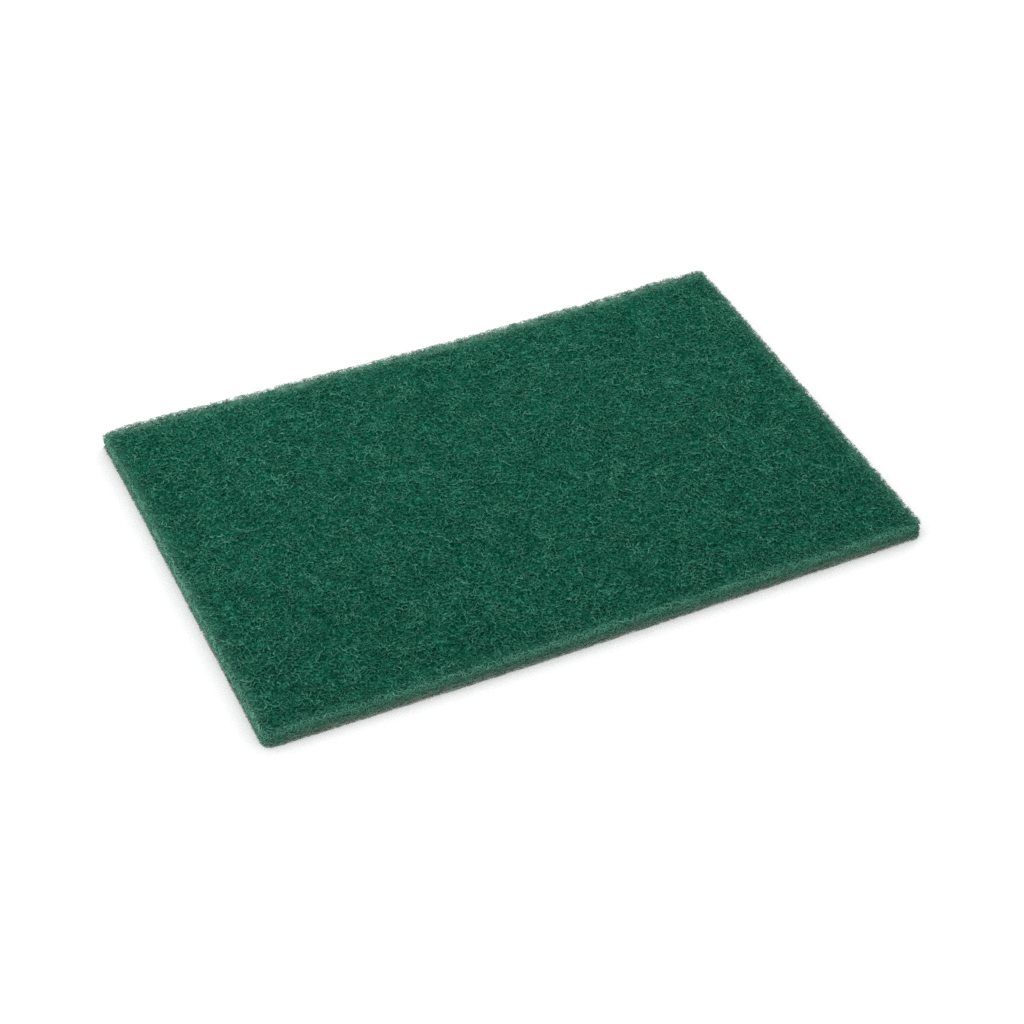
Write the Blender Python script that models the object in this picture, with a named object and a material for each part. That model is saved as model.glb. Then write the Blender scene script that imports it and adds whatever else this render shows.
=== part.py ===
"""Scouring pad: one flat rectangular sheet of bonded non-woven fibre web.

Metres, +Z up. X runs along the long side, Y along the short side, with -Y the
front edge. The origin is the centre of the footprint, on the flat underside.
The web is one piece all through, so it is one solid: a die-cut slab whose
upper edge is pressed round by the cut and whose long edges wander a little.
"""

import math

import bmesh
import bpy

# Driving dimensions
LENGTH = 0.2300          # long side, along X
WIDTH = 0.1500           # short side, along Y
THICKNESS = 0.0062       # web lying under no load
CORNER_RADIUS = 0.0026   # corners of the cut outline
TOP_ROUND = 0.0013       # upper edge, pressed down by the cutter
BOTTOM_ROUND = 0.0006    # lower edge
FRONT_BULGE = 0.0005     # the front edge bows out by this in its middle
BACK_HOLLOW = 0.0011     # the back edge draws in by this in its middle
BACK_EAR = 0.0007        # and stands out by this beside its two corners
SIDE_WANDER = 0.00015    # slow wander of the two short edges

# How finely the outline and the rounds are cut into flats
STEPS_LONG = 46
STEPS_SHORT = 30
STEPS_CORNER = 4
STEPS_TOP_ROUND = 5
STEPS_BOTTOM_ROUND = 2


def clear_scene():
    for old in list(bpy.data.objects):
        bpy.data.objects.remove(old, do_unlink=True)


def front_offset(t):
    """Outward offset of the front edge at t, 0 at its left end and 1 at its right."""
    return FRONT_BULGE * (math.sin(math.pi * t) ** 0.8 - 0.35)


def back_offset(t):
    """Outward offset of the back edge at t: hollow in the middle, ears near the corners."""
    hollow = math.exp(-(((t - 0.57) / 0.21) ** 2))
    left_ear = math.exp(-(((t - 0.07) / 0.12) ** 2))
    right_ear = math.exp(-(((t - 0.95) / 0.08) ** 2))
    return -BACK_HOLLOW * hollow + BACK_EAR * (left_ear + 1.4 * right_ear)


def side_offset(t, turn):
    """Outward offset of a short edge at t, 0 at the front and 1 at the back."""
    return SIDE_WANDER * math.sin(2.0 * math.pi * (1.4 * t + turn))


def outline():
    """The footprint as points in order, seen from above, each with its outward normal."""
    hx, hy, r = LENGTH / 2, WIDTH / 2, CORNER_RADIUS
    runs = (
        ((-hx + r, -hy), (hx - r, -hy), (0.0, -1.0), STEPS_LONG,
         lambda t: front_offset(t)),
        ((hx, -hy + r), (hx, hy - r), (1.0, 0.0), STEPS_SHORT,
         lambda t: side_offset(t, 0.10)),
        ((hx - r, hy), (-hx + r, hy), (0.0, 1.0), STEPS_LONG,
         lambda t: back_offset(1.0 - t)),
        ((-hx, hy - r), (-hx, -hy + r), (-1.0, 0.0), STEPS_SHORT,
         lambda t: side_offset(1.0 - t, 0.55)),
    )
    points = []
    for k, (start, end, out, steps, offset) in enumerate(runs):
        for i in range(steps + 1):
            t = i / steps
            d = offset(t)
            points.append((
                start[0] + (end[0] - start[0]) * t + out[0] * d,
                start[1] + (end[1] - start[1]) * t + out[1] * d,
            ))
        # Round the corner from the end of this run to the start of the next,
        # which keeps each edge's own offset where it meets the arc.
        nxt_start, _, nxt_out, _, nxt_offset = runs[(k + 1) % 4]
        a = points[-1]
        d = nxt_offset(0.0)
        b = (nxt_start[0] + nxt_out[0] * d, nxt_start[1] + nxt_out[1] * d)
        corner = (a[0] if out[0] else b[0], a[1] if out[1] else b[1])
        for i in range(1, STEPS_CORNER):
            # a quarter of an ellipse between a and b, which bulges to the corner
            u = (math.pi / 2) * i / STEPS_CORNER
            centre = (a[0] + b[0] - corner[0], a[1] + b[1] - corner[1])
            points.append((
                centre[0] + (a[0] - centre[0]) * math.cos(u) + (b[0] - centre[0]) * math.sin(u),
                centre[1] + (a[1] - centre[1]) * math.cos(u) + (b[1] - centre[1]) * math.sin(u),
            ))
    # Centre the footprint's box on the origin.
    mx = (min(p[0] for p in points) + max(p[0] for p in points)) / 2
    my = (min(p[1] for p in points) + max(p[1] for p in points)) / 2
    points = [(x - mx, y - my) for x, y in points]
    normals = []
    for i in range(len(points)):
        ax, ay = points[i - 1]
        bx, by = points[(i + 1) % len(points)]
        length = math.hypot(bx - ax, by - ay)
        normals.append(((by - ay) / length, -(bx - ax) / length))
    return points, normals


def section():
    """The edge's section from bottom to top, as (inset from the outline, height)."""
    rows = []
    for i in range(STEPS_BOTTOM_ROUND + 1):
        a = (math.pi / 2) * i / STEPS_BOTTOM_ROUND
        rows.append((BOTTOM_ROUND * (1 - math.sin(a)), BOTTOM_ROUND * (1 - math.cos(a))))
    for i in range(STEPS_TOP_ROUND + 1):
        a = (math.pi / 2) * i / STEPS_TOP_ROUND
        rows.append((
            TOP_ROUND * (1 - math.cos(a)),
            THICKNESS - TOP_ROUND + TOP_ROUND * math.sin(a),
        ))
    return rows


def build_pad():
    points, normals = outline()
    bm = bmesh.new()
    rings = []
    for inset, z in section():
        rings.append([
            bm.verts.new((x - nx * inset, y - ny * inset, z))
            for (x, y), (nx, ny) in zip(points, normals)
        ])
    count = len(points)
    for low, high in zip(rings[:-1], rings[1:]):
        for i in range(count):
            j = (i + 1) % count
            face = bm.faces.new((low[i], low[j], high[j], high[i]))
            face.smooth = True
    bm.faces.new(list(reversed(rings[0])))
    bm.faces.new(rings[-1])
    bm.normal_update()
    mesh = bpy.data.meshes.new("scouring_pad")
    bm.to_mesh(mesh)
    bm.free()
    pad = bpy.data.objects.new("scouring_pad", mesh)
    bpy.context.scene.collection.objects.link(pad)
    return pad


def resin_coated_web():
    """Matt green web: nylon fibre coated with a gritty green resin."""
    mat = bpy.data.materials.new("green_web")
    mat.use_nodes = True
    shader = mat.node_tree.nodes["Principled BSDF"]
    shader.inputs["Base Color"].default_value = (0.020, 0.120, 0.075, 1.0)
    shader.inputs["Roughness"].default_value = 0.85
    shader.inputs["Metallic"].default_value = 0.0
    return mat


clear_scene()
scouring_pad = build_pad()
scouring_pad.data.materials.append(resin_coated_web())
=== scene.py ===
"""The looks of a scouring pad: a flat web of crimped, resin-coated green fibres.

The pad is made of a closed felted core with a hollowed, tufted skin, and of
some tens of thousands of short stretches of real crimped fibre lying over it:
on the upper face, round the cut edges and on the underside. Thin bare
hairs make the haze of the loose right and back edges. Metres, +Z up, the frame
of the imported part.
"""

import math

import bpy
import numpy as np
from mathutils import Matrix, Vector


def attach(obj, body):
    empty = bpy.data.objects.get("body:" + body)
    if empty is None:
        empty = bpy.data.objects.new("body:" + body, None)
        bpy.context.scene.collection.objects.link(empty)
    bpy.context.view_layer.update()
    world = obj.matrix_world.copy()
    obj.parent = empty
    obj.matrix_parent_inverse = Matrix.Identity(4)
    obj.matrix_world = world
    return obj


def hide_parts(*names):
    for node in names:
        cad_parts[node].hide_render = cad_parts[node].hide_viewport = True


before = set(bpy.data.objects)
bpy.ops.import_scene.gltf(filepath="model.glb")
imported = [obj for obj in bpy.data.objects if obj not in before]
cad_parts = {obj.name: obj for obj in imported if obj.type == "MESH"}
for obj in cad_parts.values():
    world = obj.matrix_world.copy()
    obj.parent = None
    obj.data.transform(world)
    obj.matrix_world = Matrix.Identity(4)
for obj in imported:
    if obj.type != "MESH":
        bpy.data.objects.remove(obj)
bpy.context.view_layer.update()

# ---------------------------------------------------------------- dimensions
# The part's own driving dimensions, in metres.
LENGTH, WIDTH, THICKNESS = 0.2300, 0.1500, 0.0062
CORNER_RADIUS = 0.0026
# The fibres' own corners: they fill some out a little further, and the left ones are blunter.
FRONT_LEFT, FRONT_RIGHT, BACK_RIGHT, BACK_LEFT = 0.0030, 0.0022, 0.0021, 0.0027
TOP_ROUND = 0.0013
BOTTOM_ROUND = 0.0006
FRONT_BULGE = 0.0005
BACK_HOLLOW, BACK_EAR = 0.0011, 0.0007
SIDE_WANDER = 0.00015


# ------------------------------------------------------------------- outline
def front_offset(t):
    return FRONT_BULGE * (np.sin(np.pi * np.clip(t, 0, 1)) ** 0.8 - 0.35)


def back_offset(t):
    hollow = np.exp(-(((t - 0.57) / 0.21) ** 2))
    left_ear = np.exp(-(((t - 0.07) / 0.12) ** 2))
    right_ear = np.exp(-(((t - 0.95) / 0.08) ** 2))
    return -BACK_HOLLOW * hollow + BACK_EAR * (left_ear + 1.4 * right_ear)


def side_offset(t, turn):
    return SIDE_WANDER * np.sin(2.0 * np.pi * (1.4 * t + turn))


LEAN = 0.00040            # the front cut leans back by this at its top, and the left one out


def stray(edge, t, rise=0.0):
    """How far the fibres stand out of the part's outline along each edge, over SWOLLEN, at a
    height from 0 at the foot to 1 at the top."""
    if edge == "front":
        return 0.00020 + 0.00030 * np.exp(-(((t - 0.36) / 0.20) ** 2)) - LEAN * rise
    if edge == "left":
        ear = 0.00036 * np.exp(-(((1 - t) / 0.10) ** 2))
        return ear - 0.00018 - 0.00026 * np.exp(-(((t - 0.53) / 0.16) ** 2)) + 0.7 * LEAN * rise
    if edge == "right":
        return 0.00060 + 0.00022 * np.exp(-(((t - 0.53) / 0.17) ** 2))
    return 0.00064 + 0.0 * t


HX, HY = LENGTH / 2, WIDTH / 2
_t = np.linspace(0, 1, 47)
_s = np.linspace(0, 1, 31)
SHIFT_X = (side_offset(_s, 0.10).max() - side_offset(_s, 0.55).max()) / 2
SHIFT_Y = (back_offset(_t).max() - front_offset(_t).max()) / 2


def edges_at(x, y, rise=1.0):
    """Distance in from each of the four cut edges: left, right, front, back."""
    X, Y = x + SHIFT_X, y + SHIFT_Y
    tx = np.clip((X + HX - CORNER_RADIUS) / (LENGTH - 2 * CORNER_RADIUS), 0, 1)
    ty = np.clip((Y + HY - CORNER_RADIUS) / (WIDTH - 2 * CORNER_RADIUS), 0, 1)
    return (
        HX + side_offset(ty, 0.55) + stray("left", ty, rise) + X,
        HX + side_offset(ty, 0.10) + stray("right", ty) - X,
        HY + front_offset(tx) + stray("front", tx, rise) + Y,
        HY + back_offset(tx) + stray("back", tx) - Y,
    )


def corner_radius(x, y):
    return np.where(y < 0, np.where(x < 0, FRONT_LEFT, FRONT_RIGHT), np.where(x < 0, BACK_LEFT, BACK_RIGHT))


def inside(x, y, rise=1.0):
    """How far a point lies inside the cut outline, and less than 0 outside it."""
    left, right, front, back = edges_at(x, y, rise)
    radius = corner_radius(x, y)
    a, b = np.minimum(left, right), np.minimum(front, back)
    corner = radius - np.hypot(radius - a, radius - b)
    return np.where((a < radius) & (b < radius), corner, np.minimum(a, b))


def outline(step=0.0005):
    """Points round the cut outline, anticlockwise from the front left, with outward normals and the length run."""
    r = CORNER_RADIUS

    def along_x(end, low, high):
        """Places along the front (end 0) or back (end 1) edge, between its two corners."""
        low -= side_offset(end, 0.55) + stray("left", end)
        high -= side_offset(end, 0.10) + stray("right", end)
        xs = np.arange(-HX + low, HX - high, step)
        return xs, np.clip((xs + HX - r) / (LENGTH - 2 * r), 0, 1)

    def along_y(end, low, high):
        """Places along the left (end 0) or right (end 1) edge, between its two corners."""
        low -= front_offset(end) + stray("front", end)
        high -= back_offset(end) + stray("back", end)
        ys = np.arange(-HY + low, HY - high, step)
        return ys, np.clip((ys + HY - r) / (WIDTH - 2 * r), 0, 1)

    turn = np.arange(0.06, 0.97, 0.09) * np.pi / 2

    def arc(a, b, corner):
        centre = a + b - corner
        return centre + np.cos(turn)[:, None] * (a - centre) + np.sin(turn)[:, None] * (b - centre)

    xs, tx = along_x(0, FRONT_LEFT, FRONT_RIGHT)
    front = np.stack([xs, -HY - front_offset(tx) - stray("front", tx)], 1)
    ys, ty = along_y(1, FRONT_RIGHT, BACK_RIGHT)
    right = np.stack([HX + side_offset(ty, 0.10) + stray("right", ty), ys], 1)
    xs, tx = along_x(1, BACK_LEFT, BACK_RIGHT)
    back = np.stack([xs, HY + back_offset(tx) + stray("back", tx)], 1)[::-1]
    ys, ty = along_y(0, FRONT_LEFT, BACK_LEFT)
    left = np.stack([-HX - side_offset(ty, 0.55) - stray("left", ty), ys], 1)[::-1]
    runs = [front, right, back, left]
    parts = []
    for k, run in enumerate(runs):
        nxt = runs[(k + 1) % 4]
        a, b = run[-1], nxt[0]
        corner = np.array([b[0], a[1]]) if k % 2 == 0 else np.array([a[0], b[1]])
        parts += [run, arc(a, b, corner)]
    loop = np.concatenate(parts) - (SHIFT_X, SHIFT_Y)
    # Resample evenly.
    closed = np.concatenate([loop, loop[:1]])
    run = np.concatenate([[0], np.cumsum(np.hypot(*np.diff(closed, axis=0).T))])
    count = int(round(run[-1] / step))
    s = np.arange(count) * run[-1] / count
    p = np.stack([np.interp(s, run, closed[:, 0]), np.interp(s, run, closed[:, 1])], 1)
    d = np.roll(p, -2, 0) - np.roll(p, 2, 0)
    d /= np.hypot(*d.T)[:, None]
    return p, np.stack([d[:, 1], -d[:, 0]], 1), s, run[-1]


EDGE_P, EDGE_N, EDGE_S, EDGE_RUN = outline()


def on_edge(s):
    """The outline's point and outward normal at a length run s."""
    at = (s % EDGE_RUN) / EDGE_RUN * len(EDGE_S)
    i = np.floor(at).astype(int) % len(EDGE_S)
    j = (i + 1) % len(EDGE_S)
    f = (at - np.floor(at))[..., None]
    return EDGE_P[i] * (1 - f) + EDGE_P[j] * f, EDGE_N[i] * (1 - f) + EDGE_N[j] * f


def lean(s):
    """How far the cut has moved in at its top, along the outline."""
    s = s % EDGE_RUN
    front = np.clip(np.minimum(s, LENGTH - s) / 0.003, 0, 1)
    left = np.clip(np.minimum(s - EDGE_RUN + WIDTH, EDGE_RUN - s) / 0.003, 0, 1)
    return LEAN * (front - 0.7 * left)


def openness(x, y):
    """1 near the right and back edges, whose web is looser, and 0 near the front and left."""
    left, right, front, back = edges_at(x, y)
    return np.clip((np.minimum(left, front) - np.minimum(right, back)) / 0.004 + 0.5, 0, 1)


def overhang(loose, crisp, chance):
    """How far outside the outline a fibre ends. chance is 0 to 1. The front is cut cleanest."""
    ragged = SWOLLEN - 0.0001 + 0.0003 * chance**2
    clean = SWOLLEN - 0.00005 + 0.0001 * chance
    pressed = ragged + (clean - ragged) * crisp
    return pressed * (1 - loose) + loose * (-0.0009 + 0.0015 * chance)


def glow(x, y):
    """Painted light near each edge, as if light came in through the cuts, and the bare colour of the cut fibres: how
    pale they are near each edge.
    """
    left, right, front, back = (np.clip(d, 0, None) for d in edges_at(x, y))
    return np.clip(np.maximum.reduce([
        1.45 * np.exp(-left / 0.0014),
        0.65 * np.exp(-front / 0.0014),
        1.50 * np.exp(-right / 0.0014),
        1.80 * np.exp(-back / 0.0018),
    ]), 0, 1)


def backlit_wash(x, y, z):
    """How washed out the web is by the light that comes through its thin, loose back rim."""
    left, right, front, back = edges_at(x, y)
    patchy = np.clip(0.46 + 0.30 * tufts(x, 0.7) + 0.16 * knots(x, y), 0.05, 1)
    high = np.clip((z - 0.0026) / 0.0020, 0, 1)
    return high * np.maximum(
        patchy * np.exp(-((np.clip(back, 0, None) / 0.0025) ** 2)),
        0.12 * np.exp(-((np.clip(right, 0, None) / 0.0016) ** 2)),
    )


# --------------------------------------------------------------------- noise
def waves(seed, shortest, longest, count=28, stretch=1.0):
    """A smooth random function of x and y, about -1 to 1, with features between two lengths."""
    rng = np.random.default_rng(seed)
    length = shortest * (longest / shortest) ** rng.random(count)
    angle = rng.random(count) * 2 * np.pi
    kx = np.cos(angle) * 2 * np.pi / length / stretch
    ky = np.sin(angle) * 2 * np.pi / length
    phase = rng.random(count) * 2 * np.pi
    size = (length / longest) ** 0.35
    size /= np.sqrt((size**2).sum() / 2)

    def at(x, y):
        total = np.zeros(np.broadcast(x, y).shape)
        for a, b, c, d in zip(kx, ky, phase, size):
            total += d * np.cos(a * x + b * y + c)
        return total * 0.55

    return at


swell = waves(11, 0.014, 0.060)          # slow rise and fall of the faces
tufts = waves(12, 0.0028, 0.009, 40)     # hollows and tufts of the web
knots = waves(13, 0.0016, 0.0034, 60)    # small knots and pits
cloud = waves(14, 0.0028, 0.009, 40, 1.25)  # where the fibres lie thick or thin


def drop(d, radius):
    """How far a pressed, rounded rim has fallen at a distance d in from the edge."""
    inner = np.clip(radius - d, 0, radius)
    return radius - np.sqrt(np.maximum(radius**2 - inner**2, 0))


def top_round(loose):
    """The rim's radius: pressed down at the front and left, hardly so at the right and back."""
    return TOP_ROUND * (1 - loose) + 0.0005 * loose


def top_height(x, y, d=None, radius=TOP_ROUND):
    d = inside(x, y) if d is None else d
    settle = np.clip(d / 0.006, 0, 1)
    return (
        THICKNESS
        - drop(d, radius)
        - 0.00012
        + 0.00012 * swell(x, y) * settle
    )


# -------------------------------------------------------------------- meshes
def mesh_object(name, verts, polys_flat, poly_sizes, smooth=True):
    mesh = bpy.data.meshes.new(name)
    mesh.vertices.add(len(verts))
    mesh.vertices.foreach_set("co", np.ascontiguousarray(verts, np.float32).ravel())
    mesh.loops.add(len(polys_flat))
    mesh.loops.foreach_set("vertex_index", np.ascontiguousarray(polys_flat, np.int32))
    mesh.polygons.add(len(poly_sizes))
    starts = np.concatenate([[0], np.cumsum(poly_sizes)[:-1]]).astype(np.int32)
    mesh.polygons.foreach_set("loop_start", starts)
    mesh.polygons.foreach_set("use_smooth", np.full(len(poly_sizes), smooth, bool))
    mesh.update(calc_edges=True)
    mesh.validate()
    ob = bpy.data.objects.new(name, mesh)
    bpy.context.scene.collection.objects.link(ob)
    return ob


def set_attribute(ob, name, values):
    att = ob.data.attributes.new(name, "FLOAT", "POINT")
    att.data.foreach_set("value", np.ascontiguousarray(values, np.float32).ravel())


def link_runs(points, room):
    """Cuts fibres to where they are inside. room is above 0 inside. Each fibre's first
    point outside slides back to the cut, so that it ends there. Returns points, kept
    points and the links between neighbours."""
    ok = room > 0
    keep = ok.copy()
    points = points.copy()
    for ahead in (True, False):
        if ahead:  # leaving
            out = ~ok[:, 1:] & ok[:, :-1]
            i, j = np.nonzero(out)
            here, there = (i, j + 1), (i, j)
        else:  # coming in, unless that point already ends a run
            out = ~ok[:, :-1] & ok[:, 1:] & ~keep[:, :-1]
            i, j = np.nonzero(out)
            here, there = (i, j), (i, j + 1)
        f = room[there] / np.maximum(room[there] - room[here], 1e-9)
        points[here] = points[there] + f[:, None] * (points[here] - points[there])
        keep[here] = True
    link = keep[:, 1:] & keep[:, :-1] & (ok[:, 1:] | ok[:, :-1])
    linked = np.zeros_like(keep)
    linked[:, 1:] |= link
    linked[:, :-1] |= link
    return points, keep & linked, link


def fibre_mesh(name, points, radius, keep, link, tone, deep, roll, rim, most=196000):
    """Three-sided closed tubes along the kept runs of points. points is (fibres, steps, 3)."""
    # Stay under the piece's triangle budget, dropping whole fibres from the end.
    starts = link & ~np.concatenate([np.zeros((len(link), 1), bool), link[:, :-1]], 1)
    cost = np.cumsum(link.sum(1) * 6 + starts.sum(1) * 2)
    n = int(np.searchsorted(cost, most))
    points, radius, keep, link = points[:n], radius[:n], keep[:n], link[:n]
    tone, deep, roll = tone[:n], deep[:n], roll[:n]
    steps = points.shape[1]
    index = np.full(keep.shape, -1)
    index[keep] = np.arange(keep.sum())
    before = np.concatenate([np.zeros((n, 1), bool), link], 1)
    after = np.concatenate([link, np.zeros((n, 1), bool)], 1)
    ahead = np.where(after[..., None], np.roll(points, -1, 1), points)
    behind = np.where(before[..., None], np.roll(points, 1, 1), points)
    along = (ahead - behind)[keep]
    along /= np.maximum(np.linalg.norm(along, axis=1), 1e-12)[:, None]
    side = np.stack([along[:, 1], -along[:, 0], np.zeros(len(along))], 1)
    size = np.linalg.norm(side, axis=1)
    side = np.where(size[:, None] > 1e-3, side / np.maximum(size, 1e-3)[:, None], (1.0, 0, 0))
    up = np.cross(side, along)
    centre = points[keep]
    r = radius[keep][:, None]
    spin = np.repeat(roll[:, None], steps, 1)[keep]
    verts = np.empty((len(centre), 3, 3))
    # Painted shade: how far each side of a tube faces up, so that the material darkens the sides that face down.
    shade_by_facing = np.empty((len(centre), 3))
    for k in range(3):
        a = (spin + k * 2 * np.pi / 3)[:, None]
        verts[:, k] = centre + r * (np.cos(a) * side + np.sin(a) * up)
        shade_by_facing[:, k] = 0.5 + 0.5 * np.sin(a[:, 0]) * up[:, 2]
    # Nothing reaches below the surface that the pad lies on.
    verts[..., 2] = np.maximum(verts[..., 2], 0.00002)
    fi, pi = np.nonzero(link)
    a, b = index[fi, pi], index[fi, pi + 1]
    quads = np.empty((len(a), 3, 4), np.int64)
    for k in range(3):
        m = (k + 1) % 3
        quads[:, k] = np.stack([3 * a + k, 3 * b + k, 3 * b + m, 3 * a + m], 1)
    first = keep & after & ~before
    last = keep & before & ~after
    cap_a = index[first]
    cap_b = index[last]
    caps = np.concatenate([
        np.stack([3 * cap_a, 3 * cap_a + 1, 3 * cap_a + 2], 1),
        np.stack([3 * cap_b + 2, 3 * cap_b + 1, 3 * cap_b], 1),
    ])
    flat = np.concatenate([quads.reshape(-1), caps.reshape(-1)])
    sizes = np.concatenate([np.full(len(quads) * 3, 4), np.full(len(caps), 3)])
    ob = mesh_object(name, verts.reshape(-1, 3), flat, sizes)
    set_attribute(ob, "tone", np.repeat(np.broadcast_to(tone[:, None], keep.shape)[keep], 3))
    set_attribute(ob, "deep", np.repeat(deep[keep], 3))
    set_attribute(ob, "rim", np.repeat(rim[:n][keep], 3))
    set_attribute(ob, "shade_by_facing", shade_by_facing)
    set_attribute(ob, "backlit_wash", np.repeat(backlit_wash(*centre.T), 3))
    # A map on which each fibre has a cell of its own, for when the colours are baked.
    grid = int(np.ceil(np.sqrt(n)))
    cell = np.arange(n)
    cx, cy = cell % grid, cell // grid
    u = (cx[:, None] + 0.08 + 0.84 * np.arange(steps)[None] / (steps - 1)) / grid
    v = (cy[:, None] + 0.06 + 0.88 * np.arange(4)[None] / 3) / grid
    uv = np.empty((len(quads), 3, 4, 2))
    for k in range(3):
        uv[:, k, 0] = np.stack([u[fi, pi], v[fi, k]], 1)
        uv[:, k, 1] = np.stack([u[fi, pi + 1], v[fi, k]], 1)
        uv[:, k, 2] = np.stack([u[fi, pi + 1], v[fi, k + 1]], 1)
        uv[:, k, 3] = np.stack([u[fi, pi], v[fi, k + 1]], 1)
    tips = []
    for mask, way in ((first, -1), (last, 1)):
        i, j = np.nonzero(mask)
        tip = np.empty((len(i), 3, 2))
        order = (0, 1, 2) if way < 0 else (2, 1, 0)
        spots = (
            np.stack([u[i, j], v[i, 0]], 1),
            np.stack([u[i, j] + way * 0.05 / grid, v[i, 1]], 1),
            np.stack([u[i, j], v[i, 2]], 1),
        )
        for k, o in enumerate(order):
            tip[:, k] = spots[o]
        tips.append(tip)
    layer = ob.data.uv_layers.new(name="OFBake", do_init=False)
    every = np.concatenate([uv.reshape(-1, 2), *[t.reshape(-1, 2) for t in tips]])
    layer.uv.foreach_set("vector", every.astype(np.float32).ravel())
    return ob


def crimped(rng, start, heading, steps, step, crimp, length, wander, kink):
    """Paths in a plane: a heading that swings to and fro with the fibre's crimp, wanders slowly
    and kinks a little at each step. Returns (fibres, steps, 2)."""
    n = len(start)
    i = np.arange(steps)[None]
    phase = rng.random((n, 1)) * 2 * np.pi
    size = crimp * rng.uniform(0.55, 1.3, (n, 1))
    length = length * rng.uniform(0.7, 1.5, (n, 1))
    turn = np.cumsum(rng.normal(0, wander, (n, steps)), 1)
    swing = size * np.sin(2 * np.pi * i * step / length + phase)
    jolt = rng.normal(0, kink, (n, steps))
    angle = heading[:, None] + swing + turn + jolt
    move = np.stack([np.cos(angle), np.sin(angle)], -1) * step
    move[:, 0] = 0
    path = np.cumsum(move, 1)
    return start[:, None] + path - path[:, steps // 2][:, None]


def nodules(rng, shape, base, share, size):
    """Radii along fibres, with beads of resin here and there and tapers between."""
    r = base * rng.uniform(0.90, 1.10, shape) * rng.uniform(0.72, 1.22, (shape[0], 1))
    beads = rng.random(shape) < share
    return np.where(beads, r * rng.uniform(1.25, size, shape), r)


# ----------------------------------------------------------------- the fibres
STEP = 0.00080
THREAD = 0.000180     # half the thickness of a coated fibre on the face
BARE = 0.000115       # and of the finer fibres in the cut edges
SWOLLEN = 0.0003      # the web stands out of the cut outline by this
NEAR, FAR = 0.00045, 0.0007   # how far in the core's wall is: front and left, back and right


def face_fibres(seed, count, name, under=False, most=196000, band=(0.0, 0.00085), base=THREAD, steps=13):
    rng = np.random.default_rng(seed)
    margin = 0.004
    start = np.stack([
        rng.uniform(-HX - margin, HX + margin, count),
        rng.uniform(-HY - margin, HY + margin, count),
    ], 1)
    # Fibres lie thick in some places and thin in others.
    wish = 0.62 + 0.24 * cloud(start[:, 0], start[:, 1])
    start = start[rng.random(len(start)) < np.clip(wish, 0.15, 1)]
    n = len(start)
    heading = rng.normal(0, 1.35, n) + rng.integers(0, 2, n) * np.pi
    path = crimped(rng, start, heading, steps, STEP, 1.15, 0.0037, 0.20, 0.36)
    x, y = path[..., 0], path[..., 1]
    d = inside(x, y, 0.0 if under else 1.0)
    lie = band[0] + (band[1] - band[0]) * rng.random((n, 1)) ** 1.15
    i = np.arange(steps)[None]
    weave = rng.uniform(0.00025, 0.00055, (n, 1)) * np.sin(
        2 * np.pi * i * STEP / rng.uniform(0.0021, 0.0048, (n, 1)) + rng.random((n, 1)) * 6.28
    )
    depth = lie + weave
    depth = np.where(depth < base, base + (base - depth) * 0.5, depth)
    pit = 0.00014 * np.clip(-tufts(x, y), 0, 2) * np.clip(d / 0.003, 0, 1)
    loose = openness(x, y)
    if under:
        z = 0.00006 + depth * 0.75 + drop(d, BOTTOM_ROUND * 0.4) + pit * 0.3
    else:
        z = top_height(x, y, d + SWOLLEN, top_round(loose)) - depth - pit
    points = np.stack([x, y, z], -1)
    cut_at = rng.random((n, 1))
    left, right, front, back = edges_at(x, y)
    crisp = front < left
    room = d + overhang(loose, crisp, cut_at)
    points, keep, link = link_runs(points, room)
    radius = nodules(rng, keep.shape, base, 0.07, 1.6) * (0.55 + 0.45 * np.clip(d / 0.0030, 0, 1))
    # Painted light near the cuts: paler there, and less darkened with depth.
    pale = glow(x, y)
    deep = np.clip(depth / 0.0011, 0, 1) * (1 - 0.75 * pale)   # light gets in from the side
    return fibre_mesh(
        name, points, radius, keep, link, rng.random(n), deep, rng.random(n) * 6.28, pale, most)


def section_at(w):
    """A point of the edge's section at a length run w up from its foot: inset from the outline,
    height, and the outward normal's share outwards and up."""
    flat = 0.0012                     # on the underside
    low = BOTTOM_ROUND * np.pi / 2
    wall = THICKNESS - TOP_ROUND - BOTTOM_ROUND
    high = TOP_ROUND * np.pi / 2
    a = np.clip((w - flat) / low, 0, 1) * np.pi / 2
    b = np.clip((w - flat - low - wall) / high, 0, 1) * np.pi / 2
    over = np.clip(w - flat - low - wall - high, 0, None)
    short = np.clip(flat - w, 0, None)
    climb = np.clip(w - flat - low, 0, wall)
    inset = short + BOTTOM_ROUND * (1 - np.sin(a)) + TOP_ROUND * (1 - np.cos(b)) + over
    z = BOTTOM_ROUND * (1 - np.cos(a)) + climb + TOP_ROUND * np.sin(b)
    out = np.where(b > 0, np.cos(b), np.sin(a))
    rise = np.where(b > 0, np.sin(b), -np.cos(a))
    return inset, z, out, rise


SECTION_RUN = 0.0012 + BOTTOM_ROUND * math.pi / 2 + (THICKNESS - TOP_ROUND - BOTTOM_ROUND) + TOP_ROUND * math.pi / 2


def draw_back(s):
    """How far the core stays back from the cut: the back and right edges are more open."""
    s = s % EDGE_RUN
    go = np.clip((s - (LENGTH - 0.002)) / 0.004, 0, 1)
    stop = np.clip((s - (2 * LENGTH + WIDTH - 0.014)) / 0.006, 0, 1)
    return NEAR + (FAR - NEAR) * (go - stop)


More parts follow.
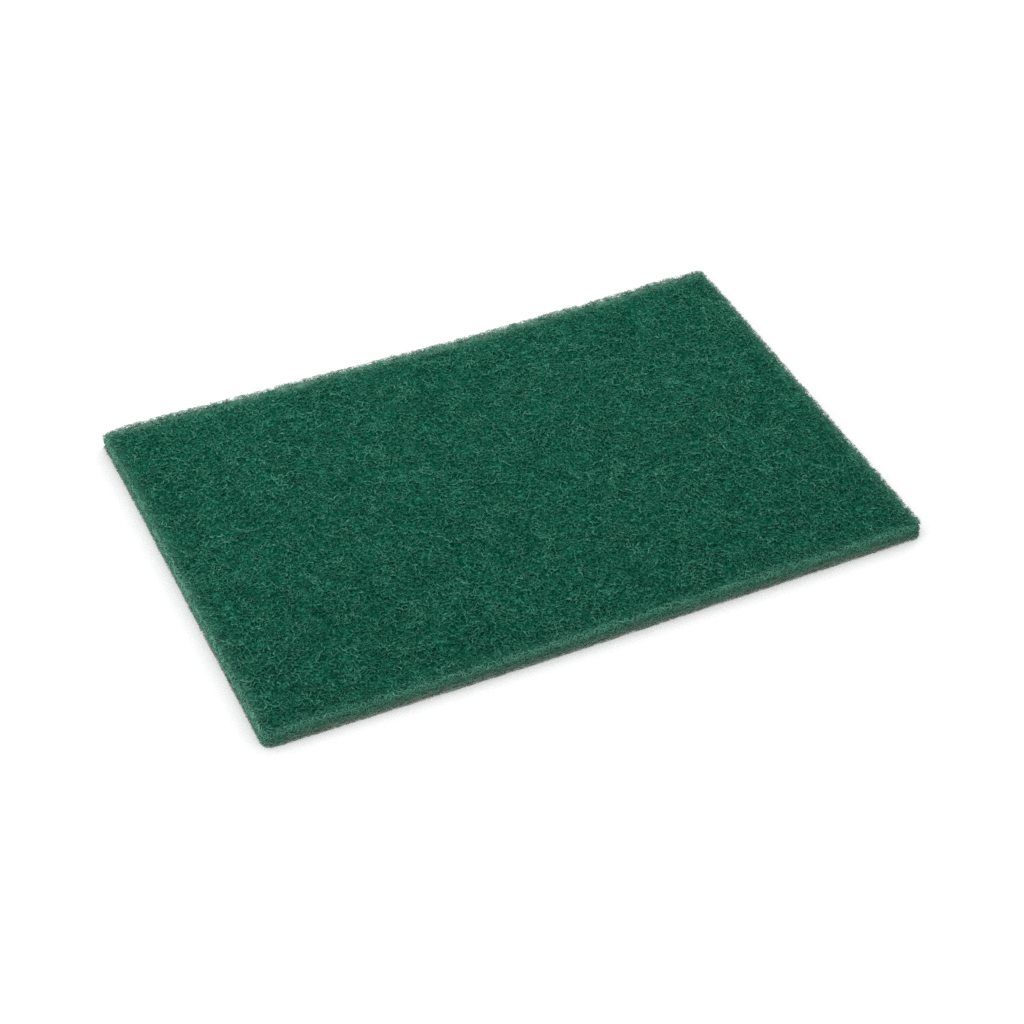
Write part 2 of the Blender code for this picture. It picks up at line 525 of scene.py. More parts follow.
def rim_fibres(seed, count, name, most=60000, steps=13, step=0.0008):
    """Fibres pressed down along the upper rim by the cutter."""
    rng = np.random.default_rng(seed)
    low, high = SECTION_RUN - 0.0026, SECTION_RUN - 0.0007
    along = rng.uniform(-WIDTH - 0.002, LENGTH - 0.004, count) % EDGE_RUN   # the left and front edges
    start = np.stack([along, rng.uniform(low, high, count)], 1)
    heading = rng.normal(0, 0.75, count) + rng.integers(0, 2, count) * np.pi
    path = crimped(rng, start, heading, steps, step, 1.05, 0.0036, 0.16, 0.36)
    s, w = path[..., 0], path[..., 1]
    p, nrm = on_edge(s)
    inset, z, out, rise = section_at(w)
    i = np.arange(steps)[None]
    depth = (
        -SWOLLEN
        + 0.00045 * rng.random((count, 1)) ** 1.4
        + 0.00010 * (1 + np.sin(2 * np.pi * i * step / rng.uniform(0.003, 0.006, (count, 1)) + rng.random((count, 1)) * 6.28))
    )
    depth = depth + 0.00012 * knots(s, w + 0.05) + 0.00012 * tufts(s, w)
    inward = inset + depth * out + lean(s)
    xy = p - nrm * inward[..., None]
    height = z - np.clip(depth, 0.0001, None) * rise
    points = np.concatenate([xy, height[..., None]], -1)
    room = np.minimum(w - low + 0.0003, high + 0.0003 - w)
    points, keep, link = link_runs(points, room)
    radius = nodules(rng, keep.shape, BARE, 0.05, 1.5)
    deep = np.clip((depth + SWOLLEN) / 0.0030, 0, 1)
    return fibre_mesh(
        name, points, radius, keep, link, rng.random(count), deep, rng.random(count) * 6.28,
        glow(xy[..., 0], xy[..., 1]), most)


def bareness_and_left_light(s, z):
    """How bare and grey a fibre in the cut is: most at its foot; higher up at the left, where the
    paleness is painted light; and less beside the two front corners."""
    s = s % EDGE_RUN
    corner = np.minimum(np.minimum(s, EDGE_RUN - s), np.abs(s - LENGTH))
    green = 0.40 + 0.60 * np.clip(corner / 0.018, 0, 1)
    return np.clip(1.35 - z / np.where(s > EDGE_RUN - WIDTH, 0.0023, 0.0016), 0, 1) * green


def foot_fibres(seed, count, name, most=22000, steps=13, step=0.0008):
    """Fibres along the foot of the front and left cuts, which make its line on the table clean."""
    rng = np.random.default_rng(seed)
    along = rng.uniform(-WIDTH * 0.9, LENGTH + 0.005, count) % EDGE_RUN
    start = np.stack([along, rng.uniform(-SWOLLEN, 0.00035, count)], 1)
    heading = rng.normal(0, 0.14, count) + rng.integers(0, 2, count) * np.pi
    path = crimped(rng, start, heading, steps, step, 0.22, 0.0040, 0.05, 0.10)
    s, d = path[..., 0], path[..., 1]
    p, nrm = on_edge(s)
    z = 0.00014 + 0.00075 * rng.random((count, 1)) ** 1.3 + 0.00006 * knots(s, start[:, :1])
    z = np.maximum(z, 0.00013)
    points = np.concatenate([p - nrm * (d + lean(s) * z / THICKNESS)[..., None], z[..., None]], -1)
    points, keep, link = link_runs(points, np.minimum(d + SWOLLEN + 0.00004, 0.0009 - d))
    radius = nodules(rng, keep.shape, BARE, 0.05, 1.4)
    deep = np.clip((d + SWOLLEN) / 0.0030, 0, 1)
    return fibre_mesh(
        name, points, radius, keep, link, rng.random(count), deep, rng.random(count) * 6.28,
        bareness_and_left_light(s, z), most)


def wall_fibres(seed, count, name, most=196000, steps=13, step=0.0008):
    """The web where it is cut through: fibres in flat layers, at every height, from the cut
    to where the core hides them. Their ends stand out of the cut by different lengths."""
    rng = np.random.default_rng(seed)
    s0 = rng.uniform(0, EDGE_RUN, count * 2)
    d0 = rng.uniform(-0.0006, 0.0030, count * 2)
    fits = np.nonzero(d0 < draw_back(s0) + 0.0011)[0][:count]
    count = len(fits)
    start = np.stack([s0[fits], d0[fits]], 1)
    heading = rng.normal(0, 0.65, count) + rng.integers(0, 2, count) * np.pi
    wild = rng.random(count) < 0.25
    heading = np.where(wild, rng.random(count) * 2 * np.pi, heading)
    path = crimped(rng, start, heading, steps, step, 0.95, 0.0038, 0.16, 0.30)
    s, d = path[..., 0], path[..., 1]
    p, nrm = on_edge(s)
    i = np.arange(steps)[None]
    loose = (draw_back(start[:, :1]) - NEAR) / (FAR - NEAR)
    level = 1 - rng.random((count, 1)) ** (1 + 0.5 * loose) + 0.045 * np.sin(
        2 * np.pi * i * step / rng.uniform(0.003, 0.007, (count, 1)) + rng.random((count, 1)) * 6.28
    ) + rng.normal(0, 0.05, (count, 1)) * (i / steps - 0.5)
    level = np.clip(level, 0, 1)
    swollen = np.clip(d + SWOLLEN, 0, None)
    loose = (draw_back(s) - NEAR) / (FAR - NEAR)
    low = 0.00012 + drop(swollen, BOTTOM_ROUND * 0.4)
    high = THICKNESS - 0.00025 - drop(swollen, top_round(loose))
    z = low + level * (high - low)
    points = np.concatenate([p - nrm * (d + lean(s) * z / THICKNESS)[..., None], z[..., None]], -1)
    crisp = (s % EDGE_RUN) < LENGTH
    room = np.minimum(d + overhang(loose, crisp, rng.random((count, 1))), draw_back(s) + 0.0013 - d)
    points, keep, link = link_runs(points, room)
    radius = nodules(rng, keep.shape, BARE, 0.05, 1.6) * (1 - 0.2 * loose)
    deep = np.clip((d + SWOLLEN) / 0.0030, 0, 1)
    # Bare, greyish fibre at the foot of the cut, reaching higher at the left as painted light, and paler tips at the
    # loose edges, painted light coming through them.
    foot = np.maximum(bareness_and_left_light(s, z) * (1 - 0.5 * loose), 0.6 * loose * np.clip(1 - (d + 0.0007) / 0.0017, 0, 1))
    return fibre_mesh(
        name, points, radius, keep, link, rng.random(count), deep, rng.random(count) * 6.28, foot, most)


def cut_ends(seed, count, name, most=20000, steps=3):
    """Short stiff ends that stand out of the cut at its foot: in tufts, but few at the front."""
    rng = np.random.default_rng(seed)
    s0 = rng.uniform(0, EDGE_RUN, count)
    at_front = s0 < LENGTH
    tufted = (rng.random(count) < 0.6) & ~at_front
    s0 = np.where(tufted, np.round(s0 / 0.0016) * 0.0016 + rng.normal(0, 0.00022, count), s0)
    level = np.where(tufted | at_front, rng.uniform(0.0002, 0.0012, count), rng.uniform(0.0004, THICKNESS - 0.0010, count))
    out = SWOLLEN + np.where(at_front, 0.00008, np.where(tufted, 0.00040, 0.00030)) * rng.random(count)
    f = np.linspace(0, 1, steps)[None]
    s = s0[:, None] + rng.normal(0, 0.00040, (count, 1)) * f
    d = 0.0009 - (0.0009 + out[:, None]) * f
    p, nrm = on_edge(s)
    z = np.clip(level[:, None] + rng.normal(0, 0.00025, (count, 1)) * f, 0.00016, THICKNESS - 0.0006)
    points = np.concatenate([p - nrm * (d + lean(s) * z / THICKNESS)[..., None], z[..., None]], -1)
    keep = np.ones((count, steps), bool)
    link = np.ones((count, steps - 1), bool)
    radius = BARE * rng.uniform(0.7, 1.1, (count, 1)) * (1 - 0.3 * f)
    deep = np.broadcast_to(1 - f, keep.shape)
    return fibre_mesh(
        name, points, radius, keep, link, rng.random(count), deep, rng.random(count) * 6.28, np.zeros(keep.shape), most)


def haze(seed, count, name, most=70000, steps=4):
    """Thin, bare hairs that stand out of the loose right and back edges in small tufts."""
    rng = np.random.default_rng(seed)
    clumps = int((LENGTH + WIDTH - 0.004) / 0.0011)
    home = LENGTH - 0.003 + (np.arange(clumps) + rng.uniform(-0.4, 0.4, clumps)) * 0.0011
    reach = 0.00005 + np.where(home < LENGTH + WIDTH, 0.00050, 0.00075) * rng.random(clumps) ** 1.3
    height = rng.random(clumps)
    k = rng.integers(0, clumps, count)
    loner = rng.random(count) < 0.45
    s0 = np.where(loner, rng.uniform(home[0], home[-1], count), home[k] + rng.normal(0, 0.00028, count))
    out = np.where(loner, 0.0006 * rng.random(count) ** 1.5, reach[k] * rng.uniform(0.35, 1.0, count))
    level = np.where(loner, rng.random(count), height[k] + rng.normal(0, 0.12, count))
    level = 1 - np.clip(level, 0, 1) ** 1.4 * 0.92
    start = rng.uniform(0.0012, 0.0032, count)
    f = np.linspace(0, 1, steps)[None]
    bend = rng.normal(0, 0.00035, (count, 1)) * np.sin(np.pi * f)
    s = s0[:, None] + rng.normal(0, 0.0009, (count, 1)) * (f - 1) + bend
    d = start[:, None] - (start + out)[:, None] * f
    p, nrm = on_edge(s)
    z = 0.00025 + level[:, None] * (THICKNESS - 0.0006) + rng.normal(0, 0.00030, (count, 1)) * (f - 0.5)
    z = np.clip(z + rng.normal(0, 0.00020, (count, 1)) * np.sin(np.pi * f), 0.00012, THICKNESS - 0.00022)
    points = np.concatenate([p - nrm * d[..., None], z[..., None]], -1)
    keep = np.ones((count, steps), bool)
    link = np.ones((count, steps - 1), bool)
    radius = 0.000082 * rng.uniform(0.7, 1.2, (count, 1)) * (1 - 0.35 * f)
    deep = np.broadcast_to(1 - f, keep.shape)
    return fibre_mesh(
        name, points, radius, keep, link, rng.random(count), deep, rng.random(count) * 6.28, np.zeros(keep.shape), most)


# ------------------------------------------------------------------- the core
def core_mesh(name):
    """The felted body under the loose fibres: a closed slab with a tufted skin, set a
    little inside the cut outline."""
    nx, ny = 203, 133
    sink = 0.00070
    round_top, round_low = 0.0014, 0.0008
    u = np.linspace(-1, 1, nx)
    v = np.linspace(-1, 1, ny)
    U, V = np.meshgrid(u, v, indexing="ij")

    def round_the_grid(nx, ny):
        """The grid's outer points in order, anticlockwise from the front left."""
        return (
            np.concatenate([np.arange(nx - 1), np.full(ny - 1, nx - 1), np.arange(nx - 1, 0, -1), np.zeros(ny - 1, int)]),
            np.concatenate([np.zeros(nx - 1, int), np.arange(ny - 1), np.full(nx - 1, ny - 1), np.arange(ny - 1, 0, -1)]),
        )

    def plan(U, V, pull, rise=1.0):
        """Spreads the unit square over the outline drawn in by pull."""
        x = U * (HX - pull) - SHIFT_X
        y = V * (HY - pull) - SHIFT_Y
        near, far = pull + NEAR, 0.45 * pull + FAR   # the loose edges are cut square
        clean = (0.4 + 0.6 * rise) * pull + 0.00025 + (NEAR - 0.00025) * rise   # and so is the front's foot
        for _ in range(3):
            left, right, front, back = edges_at(x, y, rise)
            x = np.where(U < 0, x - (left - near) * (-U), x + (right - far) * U)
            y = np.where(V < 0, y - (front - clean) * (-V), y + (back - far) * V)
        r = corner_radius(x, y) + 0.0003
        left, right, front, back = edges_at(x, y, rise)
        a, b = np.minimum(left - near, right - far), np.minimum(front - clean, back - far)
        r2 = np.maximum(r - 0.0006 - pull * 0.4, 0.0010)
        short = r2 - np.hypot(np.clip(r2 - a, 0, None), np.clip(r2 - b, 0, None))
        need = np.where((a < r2) & (b < r2), np.clip(-short, 0, None), 0)
        sx, sy = np.sign(U), np.sign(V)
        ga, gb = np.clip(r2 - a, 0, None), np.clip(r2 - b, 0, None)
        g = np.maximum(np.hypot(ga, gb), 1e-9)
        return x - sx * need * ga / g, y - sy * need * gb / g

    def hollow(x, y):
        return 0.00017 * tufts(x, y) + 0.00016 * knots(x, y)

    # Upper and lower skins share their plan with the top and bottom rows of the wall.
    xt, yt = plan(U, V, round_top * 0.9)
    zt = top_height(xt, yt) - sink + hollow(xt, yt)
    xb, yb = plan(U[::2, ::2], V[::2, ::2], round_low, 0.0)
    zb = 0.00030 - 0.00012 * np.clip(tufts(xb + 0.3, yb), -1, 1)
    # The wall's rows: inset from the outline and height.
    wall = []
    top_z = THICKNESS - sink - 0.00012
    for a in np.linspace(0.72, 0.0, 3):
        wall.append((round_top * (1 - math.cos(a * math.pi / 2)), top_z - round_top * (1 - math.sin(a * math.pi / 2))))
    wall.append((-0.0001, (top_z - round_top) * 0.5 + 0.0005))
    wall.append((0.0, 0.0003 + round_low))
    wall.append((round_low * 0.35, 0.0003 + round_low * 0.25))
    ring_i, ring_j = round_the_grid(nx, ny)
    RU, RV = U[ring_i, ring_j], V[ring_i, ring_j]
    rows = []
    for k, (pull, z) in enumerate(wall):
        run = np.arange(len(RU)) * 0.001
        rough = 0.00022 * knots(run, z * 3.0 + 0.2) + 0.00012 * tufts(run, z + 0.4)
        x2, y2 = plan(RU, RV, pull + rough, z / THICKNESS)
        rows.append(np.stack([x2, y2, z + 0.00010 * knots(run, z + 0.9)], 1))
    n_top = nx * ny
    top_index = np.arange(n_top).reshape(nx, ny)
    low_index = n_top + np.arange(xb.size).reshape(xb.shape)
    verts = [np.stack([xt, yt, zt], -1).reshape(-1, 3), np.stack([xb, yb, zb], -1).reshape(-1, 3)]
    base = n_top + xb.size
    ring = [top_index[ring_i, ring_j]]
    for row in rows:
        ring.append(base + np.arange(len(row)))
        verts.append(row)
        base += len(row)
    quads = []
    a = top_index
    quads.append(np.stack([a[:-1, :-1], a[1:, :-1], a[1:, 1:], a[:-1, 1:]], -1).reshape(-1, 4))
    a = low_index
    quads.append(np.stack([a[:-1, :-1], a[:-1, 1:], a[1:, 1:], a[1:, :-1]], -1).reshape(-1, 4))
    for high, low in zip(ring[:-1], ring[1:]):
        quads.append(np.stack([high, low, np.roll(low, -1), np.roll(high, -1)], 1))
    quads = np.concatenate(quads)
    # The underside's grid is half as fine: each of its outer steps meets two of the wall's.
    foot = low_index[round_the_grid(*low_index.shape)]
    foot_next = np.roll(foot, -1)
    a, b, c = ring[-1][0::2], ring[-1][1::2], np.roll(ring[-1][0::2], -1)
    fans = np.concatenate([
        np.stack([a, foot, b], 1), np.stack([foot, foot_next, b], 1), np.stack([b, foot_next, c], 1),
    ])
    ob = mesh_object(
        name,
        np.concatenate(verts),
        np.concatenate([quads.reshape(-1), fans.reshape(-1)]),
        np.concatenate([np.full(len(quads), 4), np.full(len(fans), 3)]),
    )
    # How much each point belongs to the cut wall, and how much painted edge light the pressed rim over it takes.
    x, y, z = np.concatenate(verts).T
    d = inside(x, y)
    rim = glow(x, y) * np.clip((z - 0.0034) / 0.0008, 0, 1)
    wall = np.clip((0.0030 - d) / 0.0008, 0, 1) * np.clip((0.0042 - z) / 0.0008, 0, 1)
    wall *= 0.45 + 0.55 * np.clip(np.hypot(HX - np.abs(x), HY + y) / 0.018, 0, 1)
    set_attribute(ob, "rim", rim)
    set_attribute(ob, "wall", wall)
    set_attribute(ob, "foot", np.clip(1.35 - z / 0.0016, 0, 1))
    set_attribute(ob, "backlit_wash", 0.7 * backlit_wash(x, y, z))
    return ob


# ----------------------------------------------------------------- materials
def nodes_of(name):
    mat = bpy.data.materials.new(name)
    mat.use_nodes = True
    nt = mat.node_tree
    return mat, nt, nt.nodes["Principled BSDF"]


def add(nt, kind, **values):
    node = nt.nodes.new(kind)
    for key, value in values.items():
        if key.startswith("in_"):
            node.inputs[int(key[3:])].default_value = value
        else:
            setattr(node, key, value)
    return node


def noise(nt, coords, scale, detail=2.0, rough=0.5, distortion=0.0):
    node = add(nt, "ShaderNodeTexNoise")
    node.inputs["Scale"].default_value = scale
    node.inputs["Detail"].default_value = detail
    node.inputs["Roughness"].default_value = rough
    node.inputs["Distortion"].default_value = distortion
    nt.links.new(coords, node.inputs["Vector"])
    return node.outputs["Fac"]


def spread(nt, value, low, high, to_low=0.0, to_high=1.0, smooth=False):
    node = add(nt, "ShaderNodeMapRange", clamp=True)
    if smooth:
        node.interpolation_type = "SMOOTHSTEP"
    for key, v in (("From Min", low), ("From Max", high), ("To Min", to_low), ("To Max", to_high)):
        node.inputs[key].default_value = v
    nt.links.new(value, node.inputs["Value"])
    return node.outputs["Result"]


def maths(nt, operation, a, b=None):
    node = add(nt, "ShaderNodeMath", operation=operation)
    for socket, value in zip(node.inputs, (a, b)):
        if value is None:
            continue
        if isinstance(value, (int, float)):
            socket.default_value = value
        else:
            nt.links.new(value, socket)
    return node.outputs[0]


def blend(nt, factor, a, b, kind="MIX"):
    node = add(nt, "ShaderNodeMix", data_type="RGBA", blend_type=kind)
    for name, value in (("Factor_Float", factor), ("A_Color", a), ("B_Color", b)):
        socket = next(s for s in node.inputs if s.identifier == name)
        if isinstance(value, (int, float)):
            socket.default_value = value
        elif isinstance(value, tuple):
            socket.default_value = (*value, 1.0)
        else:
            nt.links.new(value, socket)
    return next(s for s in node.outputs if s.identifier == "Result_Color")


def strands(nt, coords, scale, seed, width, stretch=(1.0, 1.0, 1.0)):
    """Thin wandering lines, 1 on the line and 0 off it: the level lines of a smooth noise."""
    place = add(nt, "ShaderNodeMapping")
    place.inputs["Location"].default_value = seed
    place.inputs["Scale"].default_value = stretch
    nt.links.new(coords, place.inputs["Vector"])
    field = noise(nt, place.outputs["Vector"], scale, 1.0, 0.4, 0.6)
    off = maths(nt, "ABSOLUTE", maths(nt, "SUBTRACT", field, 0.5))
    return spread(nt, off, 0.0, width, 1.0, 0.0, smooth=True)


# The darkest green is painted shade: the fibres' undersides, their deeper stretches and the core's gaps are darkened
# towards it.
SHADE_GREEN = (0.0000, 0.036, 0.0200)
GREEN_MID = (0.0040, 0.120, 0.071)
GREEN_PALE = (0.0490, 0.245, 0.160)
# The lightest green is painted highlight, for the palest bits of the face fibres.
HIGHLIGHT_GREEN = (0.1380, 0.388, 0.280)
CUT_GREEN = (0.0380, 0.175, 0.116)
CUT_PALE = (0.1080, 0.330, 0.232)
# Painted light near the cuts.
GLOW_GREEN = (0.0900, 0.270, 0.190)
GLOW_PALE = (0.1800, 0.430, 0.325)
# Grey of bare fibre at the foot of the cuts; higher on the left and at the loose tips it is painted light.
FOOT_GREY = (0.2700, 0.345, 0.285)
# The pale wash is painted light, as from light that comes through the loose back rim.
BACKLIT_WASH = (0.3900, 0.560, 0.480)


def attribute(nt, name):
    return add(nt, "ShaderNodeAttribute", attribute_name=name).outputs["Fac"]


def tone_grit_and_glints(nt, coords):
    """How pale each bit of a fibre is: by fibre, a tone that differs at random, and by a fine noise that is partly the
    grit in its resin and partly painted highlight.
    """
    grit_and_glint = noise(nt, coords, 1250.0, 2.0, 0.6)
    return grit_and_glint, maths(nt, "ADD", maths(nt, "MULTIPLY", attribute(nt, "tone"), 0.3),
                        maths(nt, "MULTIPLY", spread(nt, grit_and_glint, 0.32, 0.68), 0.7))


def uneven_and_lit_to_back(nt, coords):
    """Slow unevenness of the coating over the whole sheet, and painted light that makes it a little lighter towards its
    back.
    """
    patch = maths(nt, "MULTIPLY", spread(nt, noise(nt, coords, 110.0, 2.0, 0.55), 0.3, 0.7, 0.91, 1.09),
                  spread(nt, noise(nt, coords, 290.0, 1.0, 0.5), 0.3, 0.7, 0.90, 1.10))
    # Painted light: a little lighter towards the back.
    place = add(nt, "ShaderNodeSeparateXYZ")
    nt.links.new(coords, place.inputs["Vector"])
    return maths(nt, "MULTIPLY", patch, spread(nt, place.outputs["Y"], -0.075, 0.075, 0.94, 1.10))


def fibre_material(name):
    """Coated fibre of the faces: green resin, with painted shade that makes it darker and deeper in colour down in the
    web and on the fibres' undersides, painted highlights on its palest bits, and painted light that makes it paler
    beside the cuts."""
    mat, nt, shader = nodes_of(name)
    coords = add(nt, "ShaderNodeTexCoord").outputs["Object"]
    grit_and_glint, mix = tone_grit_and_glints(nt, coords)
    colour = blend(nt, spread(nt, mix, 0.15, 0.65), GREEN_MID, GREEN_PALE)
    # Painted highlight: the palest bits go to the lightest green.
    colour = blend(nt, spread(nt, mix, 0.60, 1.0), colour, HIGHLIGHT_GREEN)
    colour = blend(nt, attribute(nt, "rim"), colour, blend(nt, mix, GLOW_GREEN, GLOW_PALE))
    # Painted shade: the fibres' downward sides are darkened.
    colour = blend(nt, spread(nt, attribute(nt, "shade_by_facing"), 0.1, 0.85, 0.5, 0.0), colour, SHADE_GREEN)
    # Painted shade: deeper stretches of fibre are darkened.
    colour = blend(nt, spread(nt, attribute(nt, "deep"), 0.15, 0.9, 0.0, 0.88), colour, SHADE_GREEN)
    # Painted light: washed out near the loose back rim.
    colour = blend(nt, attribute(nt, "backlit_wash"), colour, BACKLIT_WASH)
    nt.links.new(blend(nt, 1.0, colour, uneven_and_lit_to_back(nt, coords), "MULTIPLY"), shader.inputs["Base Color"])
    nt.links.new(spread(nt, grit_and_glint, 0.3, 0.7, 0.72, 0.42), shader.inputs["Roughness"])
    shader.inputs["Specular IOR Level"].default_value = 0.02
    return mat


def cut_material(name):
    """Fibre in the cut faces: paler and greyer, most of all where it is bare at the foot, and where light is painted:
    higher up on the left and at the loose tips.
    """
    mat, nt, shader = nodes_of(name)
    coords = add(nt, "ShaderNodeTexCoord").outputs["Object"]
    grit_and_glint, mix = tone_grit_and_glints(nt, coords)
    colour = blend(nt, spread(nt, mix, 0.15, 0.85), CUT_GREEN, CUT_PALE)
    colour = blend(nt, attribute(nt, "rim"), colour, FOOT_GREY)
    # Painted shade: fibre deeper in the cut is darkened.
    colour = blend(nt, spread(nt, attribute(nt, "deep"), 0.25, 1.0, 0.0, 0.8), colour, GREEN_MID)
    colour = blend(nt, attribute(nt, "backlit_wash"), colour, BACKLIT_WASH)
    nt.links.new(colour, shader.inputs["Base Color"])
    nt.links.new(spread(nt, grit_and_glint, 0.3, 0.7, 0.72, 0.42), shader.inputs["Roughness"])
    shader.inputs["Specular IOR Level"].default_value = 0.02
    return mat


def rim_material(name):
    """Fibre pressed along the upper rim: a paler green, partly its own and partly painted highlight on the rounded rim,
    and paler still near the cuts as painted light.
    """
    mat, nt, shader = nodes_of(name)
    coords = add(nt, "ShaderNodeTexCoord").outputs["Object"]
    grit_and_glint, mix = tone_grit_and_glints(nt, coords)
    colour = blend(nt, spread(nt, mix, 0.15, 0.85), (0.014, 0.155, 0.096), (0.060, 0.312, 0.207))
    colour = blend(nt, attribute(nt, "rim"), colour, blend(nt, mix, GLOW_GREEN, GLOW_PALE))
    nt.links.new(colour, shader.inputs["Base Color"])
    nt.links.new(spread(nt, grit_and_glint, 0.3, 0.7, 0.72, 0.42), shader.inputs["Roughness"])
    shader.inputs["Specular IOR Level"].default_value = 0.02
    return mat


def end_material(name, grey, green):
    """The bare ends, where the cutter has gone through resin and fibre."""
    mat, nt, shader = nodes_of(name)
    colour = blend(nt, spread(nt, attribute(nt, "tone"), 0.3, 0.7), grey, green)
    colour = blend(nt, attribute(nt, "deep"), colour, CUT_GREEN)
    nt.links.new(colour, shader.inputs["Base Color"])
    shader.inputs["Roughness"].default_value = 0.7
    shader.inputs["Specular IOR Level"].default_value = 0.06
    return mat


def core_material(name):
    """The felt under the loose fibres: layers of finer strands over gaps painted dark as shade."""
    mat, nt, shader = nodes_of(name)
    coords = add(nt, "ShaderNodeTexCoord").outputs["Object"]
    lines = [
        strands(nt, coords, 520.0, (0.0, 0.0, 0.0), 0.060, (0.8, 1.0, 1.0)),
        strands(nt, coords, 680.0, (1.7, 0.4, 0.9), 0.060),
        strands(nt, coords, 880.0, (3.1, 2.2, 0.3), 0.065, (1.0, 0.8, 1.0)),
        strands(nt, coords, 430.0, (5.3, 1.2, 2.1), 0.040),
    ]
    upper = maths(nt, "MAXIMUM", lines[0], lines[1])
    lower = maths(nt, "MAXIMUM", lines[2], lines[3])
    web = maths(nt, "MAXIMUM", upper, maths(nt, "MULTIPLY", lower, 0.6))
    grit = noise(nt, coords, 1500.0, 2.0, 0.6)
    light = maths(nt, "MULTIPLY", web, spread(nt, grit, 0.25, 0.75, 0.35, 1.25))
    colour = blend(nt, light, SHADE_GREEN, (0.014, 0.148, 0.0920))
    colour = blend(nt, spread(nt, light, 0.55, 1.15), colour, (0.058, 0.215, 0.1450))
    flat = add(nt, "ShaderNodeMapping")
    flat.inputs["Scale"].default_value = (0.22, 0.22, 1.0)
    nt.links.new(coords, flat.inputs["Vector"])
    streak = noise(nt, flat.outputs["Vector"], 1500.0, 3.0, 0.6)
    cut_face = blend(nt, spread(nt, streak, 0.3, 0.7), (0.036, 0.070, 0.050), (0.105, 0.180, 0.132))
    # Painted light: the pressed rim is paler near the cuts.
    pressed = blend(nt, spread(nt, streak, 0.3, 0.7), (0.050, 0.210, 0.142), (0.105, 0.330, 0.235))
    colour = blend(nt, attribute(nt, "rim"), colour, pressed)
    cut_face = blend(nt, attribute(nt, "foot"), cut_face, (0.190, 0.250, 0.205))
    colour = blend(nt, attribute(nt, "wall"), colour, cut_face)
    colour = blend(nt, attribute(nt, "backlit_wash"), colour, BACKLIT_WASH)
    nt.links.new(blend(nt, 1.0, colour, uneven_and_lit_to_back(nt, coords), "MULTIPLY"), shader.inputs["Base Color"])
    nt.links.new(spread(nt, light, 0.0, 1.0, 0.9, 0.62), shader.inputs["Roughness"])
    height = maths(nt, "ADD", web, maths(nt, "MULTIPLY", grit, 0.25))
    bump = add(nt, "ShaderNodeBump")
    bump.inputs["Strength"].default_value = 0.8
    bump.inputs["Distance"].default_value = 0.00022
    nt.links.new(height, bump.inputs["Height"])
    nt.links.new(bump.outputs["Normal"], shader.inputs["Normal"])
    shader.inputs["Specular IOR Level"].default_value = 0.0
    return mat


# --------------------------------------------------------------------- build
core = core_mesh("pad_web")
core.data.materials.append(core_material("felted_web"))

coated = fibre_material("coated_fibre")
cut = cut_material("cut_fibre")

pieces = [core]
for k, most in enumerate((196000, 196000, 112000)):
    ob = face_fibres(101 + k, 6200, f"fibres_top_{'abc'[k]}", band=(0.0, 0.0009), most=most)
    ob.data.materials.append(coated)
    pieces.append(ob)
ob = face_fibres(131, 1900, "fibres_under", under=True, most=25000)
ob.data.materials.append(coated)
pieces.append(ob)
for k in range(2):
    ob = wall_fibres(151 + k, 4200, f"fibres_wall_{'ab'[k]}", most=136000)
    ob.data.materials.append(cut)
    pieces.append(ob)
ob = rim_fibres(171, 900, "fibres_rim", most=16000)
ob.data.materials.append(rim_material("pressed_fibre"))
pieces.append(ob)
ob = foot_fibres(175, 360, "fibres_foot")
ob.data.materials.append(cut)
pieces.append(ob)
ob = cut_ends(181, 900, "fibres_ends", most=13000)
ob.data.materials.append(end_material("cut_ends", (0.110, 0.118, 0.092), (0.070, 0.190, 0.135)))
pieces.append(ob)
ob = haze(191, 3450, "fibres_haze")
ob.data.materials.append(end_material("bare_hairs", (0.230, 0.270, 0.240), (0.150, 0.360, 0.275)))
pieces.append(ob)

for ob in pieces:
    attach(ob, "root")
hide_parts("scouring_pad")
for ob in pieces:
    me = ob.data
    me.calc_loop_triangles()
    print("PIECE", ob.name, len(me.loop_triangles), flush=True)


# --------------------------------------------------------------------- floor
def white_floor():
    mesh = bpy.data.meshes.new("floor")
    s = 4.0
    mesh.from_pydata([(-s, -s, 0), (s, -s, 0), (s, s, 0), (-s, s, 0)], [], [(0, 1, 2, 3)])
    floor = bpy.data.objects.new("floor", mesh)
    bpy.context.scene.collection.objects.link(floor)
    mat, nt, shader = nodes_of("pale_floor")
    shader.inputs["Base Color"].default_value = (0.93, 0.93, 0.93, 1)
    shader.inputs["Roughness"].default_value = 0.9
    shader.inputs["Specular IOR Level"].default_value = 0.2
    mesh.materials.append(mat)
    return floor


white_floor()


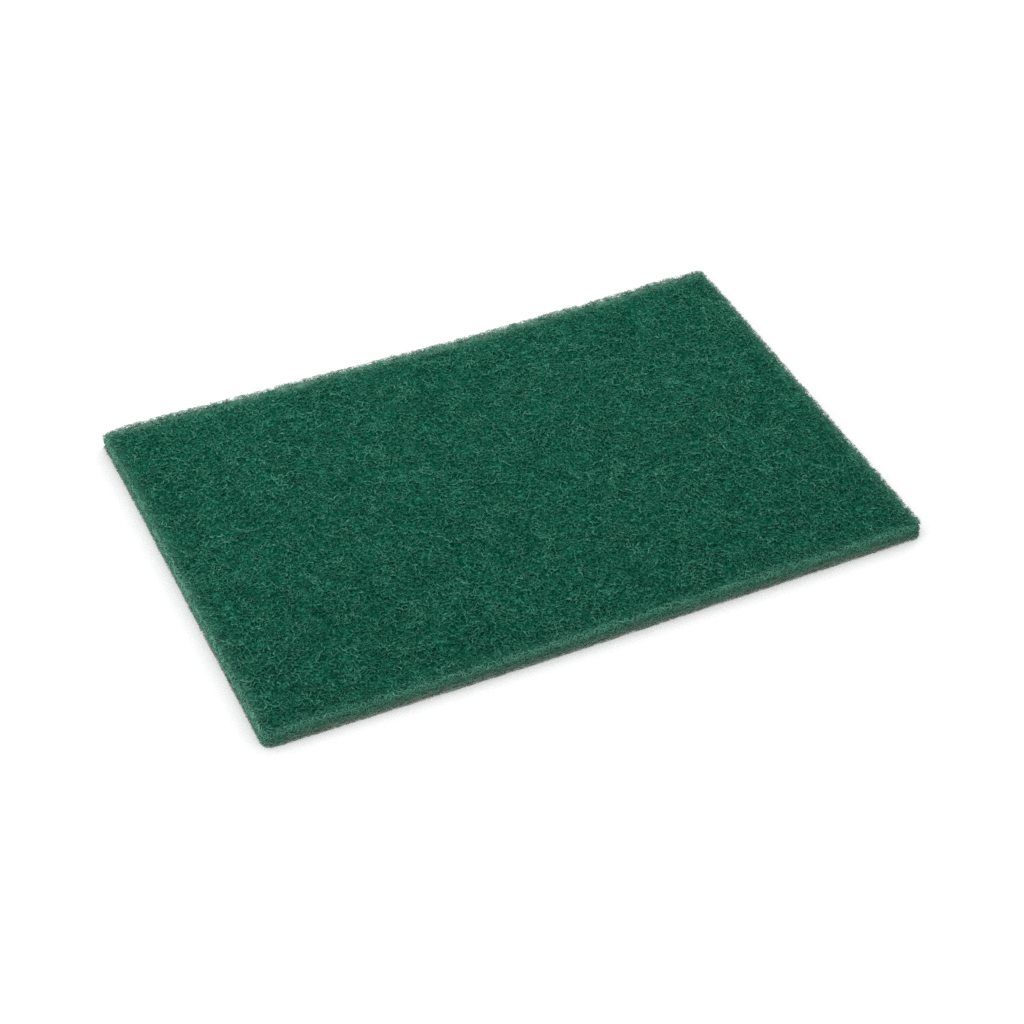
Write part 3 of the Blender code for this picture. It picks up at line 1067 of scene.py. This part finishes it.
# -------------------------------------------------------------------- lights
def softbox(name, place, target, size, power, tint=(1, 1, 1)):
    data = bpy.data.lights.new(name, "AREA")
    data.shape = "RECTANGLE"
    data.size, data.size_y = size
    data.energy = power
    data.color = tint
    ob = bpy.data.objects.new(name, data)
    bpy.context.scene.collection.objects.link(ob)
    ob.location = place
    ob.rotation_euler = (Vector(target) - Vector(place)).to_track_quat("-Z", "Y").to_euler()
    return ob


softbox("overhead", (-0.35, 0.10, 1.3), (0, 0, 0), (1.2, 1.2), 4.5)
softbox("left", (-1.35, -0.10, 0.36), (0, 0, 0), (0.5, 0.5), 5.0)
softbox("right_back", (1.1, 0.9, 1.0), (0, 0, 0), (0.8, 0.8), 4.5)

world = bpy.data.worlds.new("studio")
world.use_nodes = True
world.node_tree.nodes["Background"].inputs["Color"].default_value = (1, 1, 1, 1)
world.node_tree.nodes["Background"].inputs["Strength"].default_value = 0.90
bpy.context.scene.world = world
bpy.context.scene.view_settings.view_transform = "Standard"
bpy.context.scene.view_settings.look = "None"
bpy.context.scene.cycles.use_denoising = False
bpy.context.scene.cycles.filter_width = 1.7


# -------------------------------------------------------------------- camera
def photo_camera():
    """The photograph's camera, solved from the pad's own corners."""
    focal, azimuth, elevation, distance, roll = 2376.6, -26.781, 42.451, 0.786322, 2.117
    target = Vector((-0.002508 - SHIFT_X, -0.009903 - SHIFT_Y, 0.0))
    a, e, r = (math.radians(v) for v in (azimuth, elevation, roll))
    back = Vector((math.sin(a) * math.cos(e), -math.cos(a) * math.cos(e), math.sin(e)))
    x = Vector((0, 0, 1)).cross(back).normalized()
    y = back.cross(x)
    xr = x * math.cos(r) + y * math.sin(r)
    yr = -x * math.sin(r) + y * math.cos(r)
    data = bpy.data.cameras.new("photo_view")
    data.sensor_width = 36.0
    data.sensor_fit = "HORIZONTAL"
    data.lens = focal * 36.0 / 1024
    data.clip_start, data.clip_end = 0.01, 20.0
    cam = bpy.data.objects.new("photo_view", data)
    bpy.context.scene.collection.objects.link(cam)
    m = Matrix((xr, yr, back)).transposed().to_4x4()
    m.translation = target + back * distance
    cam.matrix_world = m
    bpy.context.scene.camera = cam


photo_camera()
